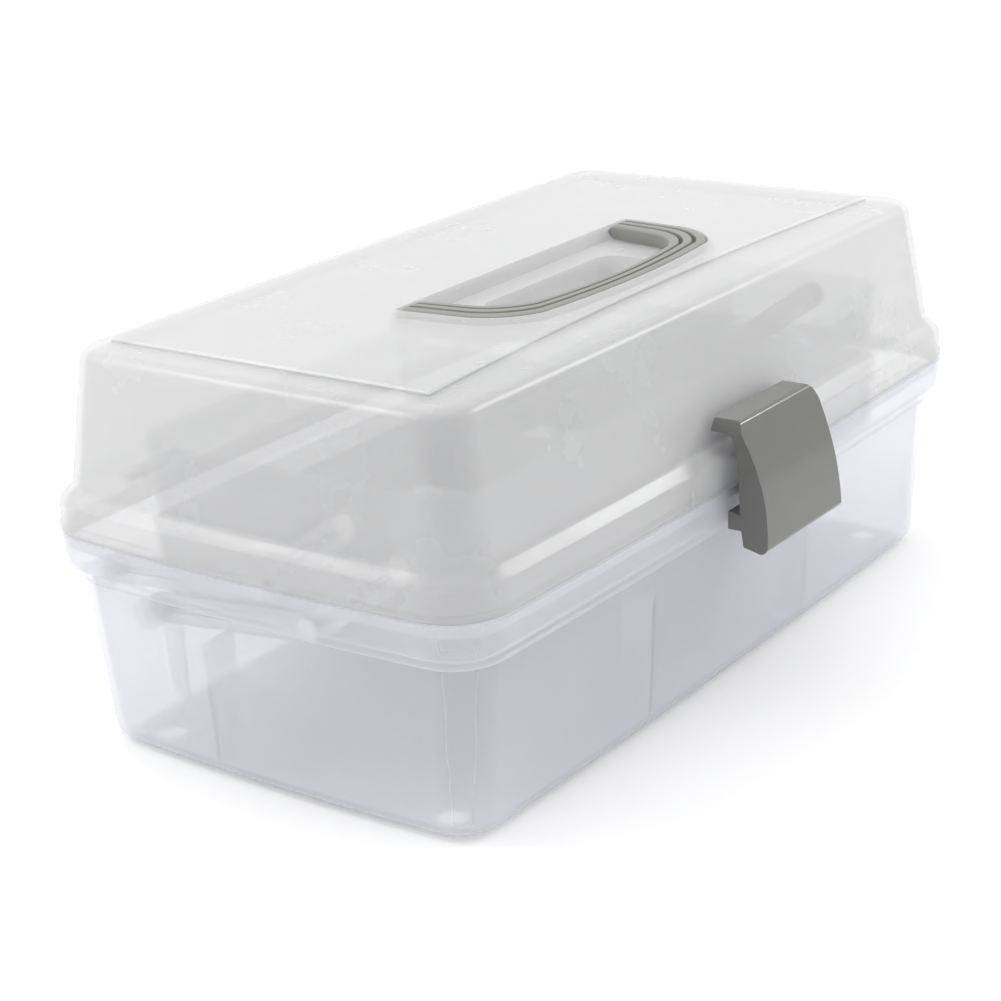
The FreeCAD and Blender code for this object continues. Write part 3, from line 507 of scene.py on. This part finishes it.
class ARTBOX_OT_handle(ArtBoxOperator):
    """Makes the grooved handle"""
    bl_idname = "artbox.make_handle"
    bl_label = "Handle"

    def execute(self, context):
        colours, shape = context.scene.artbox_colours, context.scene.artbox_shape
        low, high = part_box("handle")
        thick = high.z - low.z
        outer, inner = handle_rails(RAIL_STEPS)
        # the rails' legs start on the pivot axis, half a thickness in front of the handle's back
        shift = high.y - thick / 2 - outer[0, 1]
        outer[:, 1] += shift
        inner[:, 1] += shift
        share, height, groove = handle_profile(thick, shape.groove_depth, shape.handle_edge,
                                                 HANDLE_WIDTH)
        # each leg's end turns down round the pivot axis in a half circle
        turn = np.linspace(0, math.pi / 2, LEG_TURN_STEPS + 1)[1:]
        back = np.stack([np.zeros(LEG_TURN_STEPS), thick / 2 * np.sin(turn)], 1)
        outer = np.vstack([(outer[0] + back)[::-1], outer, outer[-1] + back])
        inner = np.vstack([(inner[0] + back)[::-1], inner, inner[-1] + back])
        flatten = np.concatenate([np.cos(turn)[::-1], np.ones(len(outer) - 2 * LEG_TURN_STEPS),
                                  np.cos(turn)])
        plan = outer[:, None] * (1 - share[None, :, None]) + inner[:, None] * share[None, :, None]
        rise = low.z + thick / 2 + (height[None] - thick / 2) * flatten[:, None]
        points = np.concatenate([plan, rise[..., None]], -1).reshape(-1, 3)
        faces = grid_faces(len(outer), len(share))
        pieces = [(points, faces)]
        along, level = high.y - thick / 2, low.z + thick / 2
        for sign in (-1, 1):
            start, end = sorted((sign * (outer[LEG_TURN_STEPS, 0] - STUB_ROOT), sign * high.x))
            pieces.append(capped_rod(STUB_RADIUS, start, end, along, level))
        stacked, joined, offset = [], [], 0
        for block, quads in pieces:
            stacked.append(block)
            joined.append(quads + offset)
            offset += len(block)
        # painted shade: the grip's groove mask darkens its colour in the grooves; the stubs get
        # none
        shade = np.concatenate([np.tile(groove, len(outer)), np.zeros(offset - len(points))])
        grey = hard_plastic("grey_handle", colours.handle_grey, roughness=0.42, marks=0.4,
                            bump=0.3, groove=0.8)
        piece = new_piece("handle_grip", np.vstack(stacked), np.vstack(joined), shade,
                          "handle", grey, "grey_handle", "handle")
        piece.data.polygons.foreach_set("use_smooth", np.ones(len(piece.data.polygons), bool))
        piece.data.set_sharp_from_angle(angle=HANDLE_SHARP)
        return {"FINISHED"}


class ARTBOX_OT_latch(ArtBoxOperator):
    """Makes the glossy latch"""
    bl_idname = "artbox.make_latch"
    bl_label = "Latch"

    def execute(self, context):
        colours, shape = context.scene.artbox_colours, context.scene.artbox_shape
        gloss = hard_plastic("grey_latch", colours.latch_grey, roughness=0.16, marks=0.25,
                             bump=0.12, coat=0.3)
        moulded_copy("latch_cover", "latch", "latch", gloss, "grey_latch", shape.edge_round * 1.6)
        return {"FINISHED"}


# ---------------------------------------------------------------- the studio

def area_light(name, place, target, width, depth, power):
    """A soft box that faces a point."""
    data = bpy.data.lights.new(name, "AREA")
    data.shape, data.size, data.size_y = "RECTANGLE", width, depth
    data.energy = power
    light = bpy.data.objects.new(name, data)
    bpy.context.scene.collection.objects.link(light)
    light.location = place
    light.rotation_euler = (Vector(target) - Vector(place)).to_track_quat("-Z", "Y").to_euler()


class ARTBOX_OT_stage(ArtBoxOperator):
    """Makes the floor, the lights and the camera"""
    bl_idname = "artbox.make_stage"
    bl_label = "Stage"

    def execute(self, context):
        scene, studio = context.scene, context.scene.artbox_studio
        half = studio.floor_size / 2
        corners = np.array([(-half, -half, 0), (half, -half, 0), (half, half, 0), (-half, half, 0)])
        mesh = bpy.data.meshes.new("studio_floor")
        mesh.from_pydata(corners.tolist(), [], [(0, 1, 2, 3)])
        floor = bpy.data.objects.new("studio_floor", mesh)
        scene.collection.objects.link(floor)
        pale, _, shader = started_material("pale_floor")
        shader.inputs["Base Color"].default_value = (0.93, 0.93, 0.93, 1)
        shader.inputs["Roughness"].default_value = 0.6
        shader.inputs["Specular IOR Level"].default_value = 0.2
        mesh.materials.append(pale)
        world = bpy.data.worlds.new("studio_air")
        scene.world = world
        world.use_nodes = True
        air = world.node_tree.nodes["Background"]
        air.inputs["Color"].default_value = (1, 1, 1, 1)
        air.inputs["Strength"].default_value = 1.06
        area_light("soft_top", place=(-0.3, 0.1, 1.9), target=(0, 0, 0.05), width=1.4, depth=1.0,
                   power=3)
        area_light("edge_right", place=(1.35, -0.75, 1.1), target=(0, 0, 0.1), width=0.35,
                   depth=0.35, power=7)
        area_light("edge_back", place=(-0.7, 1.05, 1.35), target=(0, 0, 0.1), width=0.35,
                   depth=0.35, power=7)
        data = bpy.data.cameras.new("camera")
        data.lens, data.sensor_width = studio.lens, SENSOR_WIDTH
        data.clip_start, data.clip_end = 0.01, 60.0
        camera = bpy.data.objects.new("camera", data)
        scene.collection.objects.link(camera)
        azimuth, elevation, roll = studio.azimuth, studio.elevation, studio.roll
        back = Vector((math.sin(azimuth) * math.cos(elevation),
                       -math.cos(azimuth) * math.cos(elevation), math.sin(elevation)))
        right = (-back).cross(Vector((0, 0, 1))).normalized()
        up = back.cross(right)
        turned_right = right * math.cos(roll) + up * math.sin(roll)
        turned_up = up * math.cos(roll) - right * math.sin(roll)
        rotation = Matrix((turned_right, turned_up, back)).transposed()
        camera.matrix_world = Matrix.Translation(studio.camera_place) @ rotation.to_4x4()
        scene.camera = camera
        scene.view_settings.view_transform = "Standard"
        return {"FINISHED"}


class ARTBOX_PT_panel(bpy.types.Panel):
    """Sidebar panel that lists the box's settings and makers"""
    bl_idname = "ARTBOX_PT_panel"
    bl_label = "Art supply box"
    bl_space_type = "VIEW_3D"
    bl_region_type = "UI"
    bl_category = "Art box"

    def draw(self, context):
        layout, scene = self.layout, context.scene
        for settings in (scene.artbox_colours, scene.artbox_shape, scene.artbox_studio):
            column = layout.column(align=True)
            for name in settings.__annotations__:
                column.prop(settings, name)
        for operator in MAKERS:
            layout.operator(operator.bl_idname)


MAKERS = (ARTBOX_OT_bin, ARTBOX_OT_lid, ARTBOX_OT_trays, ARTBOX_OT_small_parts, ARTBOX_OT_handle,
          ARTBOX_OT_latch, ARTBOX_OT_stage)
SETTINGS = (("artbox_colours", ArtBoxColours), ("artbox_shape", ArtBoxShape),
            ("artbox_studio", ArtBoxStudio))


def register():
    for name, group in SETTINGS:
        bpy.utils.register_class(group)
        setattr(bpy.types.Scene, name, bpy.props.PointerProperty(type=group))
    for item in (*MAKERS, ARTBOX_PT_panel):
        bpy.utils.register_class(item)


def unregister():
    for item in (ARTBOX_PT_panel, *reversed(MAKERS)):
        bpy.utils.unregister_class(item)
    for name, group in reversed(SETTINGS):
        delattr(bpy.types.Scene, name)
        bpy.utils.unregister_class(group)


def main():
    register()
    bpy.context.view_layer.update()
    for operator in MAKERS:
        group, name = operator.bl_idname.split(".")
        getattr(getattr(bpy.ops, group), name)()


if __name__ == "__main__":
    main()
